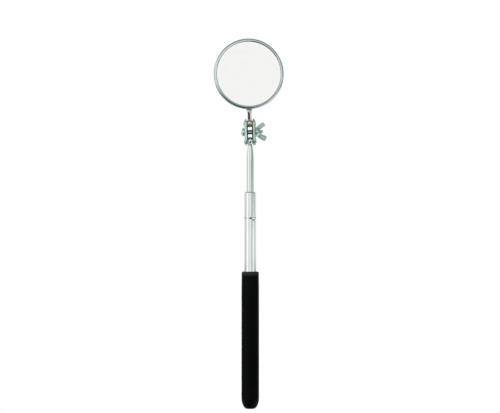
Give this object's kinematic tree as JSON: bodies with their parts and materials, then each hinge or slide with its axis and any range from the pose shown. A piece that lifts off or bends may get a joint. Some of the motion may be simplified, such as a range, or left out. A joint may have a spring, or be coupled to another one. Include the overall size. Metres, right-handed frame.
{
  "type": "telescoping inspection mirror",
  "caption": "Round framed mirror on a clamped double ball joint, carried by a telescoping tube with a soft black grip.",
  "frame": {"origin": "middle of the grip, on the axis of the tubes", "axes": "+Z along the tubes towards the mirror, the mirror looks to -Y, the wing nut is on the +X side"},
  "size_m": [0.0569, 0.0164, 0.3004],
  "materials": {
    "black_vinyl": "satin dipped vinyl",
    "tube_chrome": "bright chrome plate",
    "case_chrome": "bright chrome plate over spun steel",
    "zinc_plate": "bright zinc plate with a faint green cast",
    "cast_zinc": "zinc plated casting, slightly rough",
    "nickel_plate": "nickel plate, warm",
    "spring_brass": "dull spring brass",
    "nylon": "natural nylon",
    "felt": "pressed felt",
    "mirror_glass": "back silvered glass"
  },
  "bodies": {
    "handle": {"grip_sleeve": "black_vinyl", "outer_tube": "tube_chrome", "end_plug": "nylon", "guide_bushing": "nylon"},
    "sliding_collars": {"friction_collar_lower": "spring_brass", "friction_collar_upper": "spring_brass"},
    "tube": {"inner_tube": "tube_chrome", "ball_pin": "nickel_plate"},
    "rod_ball": {"lower_ball": "nickel_plate"},
    "clamp": {"clamp_plate_left": "zinc_plate", "clamp_bolt": "zinc_plate"},
    "loose_plate": {"clamp_plate_right": "zinc_plate", "nut_washer": "zinc_plate"},
    "nut": {"wing_nut": "cast_zinc"},
    "stud_ball": {"upper_ball": "nickel_plate"},
    "mirror_head": {"mirror_stud": "nickel_plate", "mirror_case": "case_chrome", "backing_pad": "felt", "mirror_glass": "mirror_glass"}
  },
  "joints": [
    {"name": "tube_slide", "type": "slide", "parent": "handle", "child": "sliding_collars", "axis": [0, 0, 1], "range_m": [-0.009, 0.096]},
    {"name": "tube_spin", "type": "hinge", "parent": "sliding_collars", "child": "tube", "pos_m": [0, 0, 0.1], "axis": [0, 0, 1], "continuous": true},
    {"name": "lower_ball_tilt", "type": "hinge", "parent": "tube", "child": "rod_ball", "pos_m": [0, 0, 0.16175], "axis": [0, 1, 0], "range_deg": [-1.5, 5.1]},
    {"name": "lower_ball_swing", "type": "hinge", "parent": "rod_ball", "child": "clamp", "pos_m": [0, 0, 0.16175], "axis": [0.9995, 0, 0.0314], "range_deg": [-120, 120]},
    {"name": "plate_release", "type": "slide", "parent": "clamp", "child": "loose_plate", "axis": [0.9995, 0, 0.0314], "range_m": [0, 0.00079]},
    {"name": "wing_nut_turn", "type": "hinge", "parent": "loose_plate", "child": "nut", "pos_m": [-0.00022, 0, 0.16885], "axis": [0.9995, 0, 0.0314], "range_deg": [0, 360]},
    {"name": "upper_ball_swing", "type": "hinge", "parent": "clamp", "child": "stud_ball", "pos_m": [-0.00045, 0, 0.17594], "axis": [-0.9995, 0, -0.0314], "range_deg": [-120, 120]},
    {"name": "mirror_swivel", "type": "hinge", "parent": "stud_ball", "child": "mirror_head", "pos_m": [-0.00045, 0, 0.17594], "axis": [-0.0314, 0, 0.9995], "continuous": true}
  ],
  "couplings": [
    {"joint": "wing_nut_turn", "follows": "plate_release", "rad_per_m": 7915.8}
  ]
}
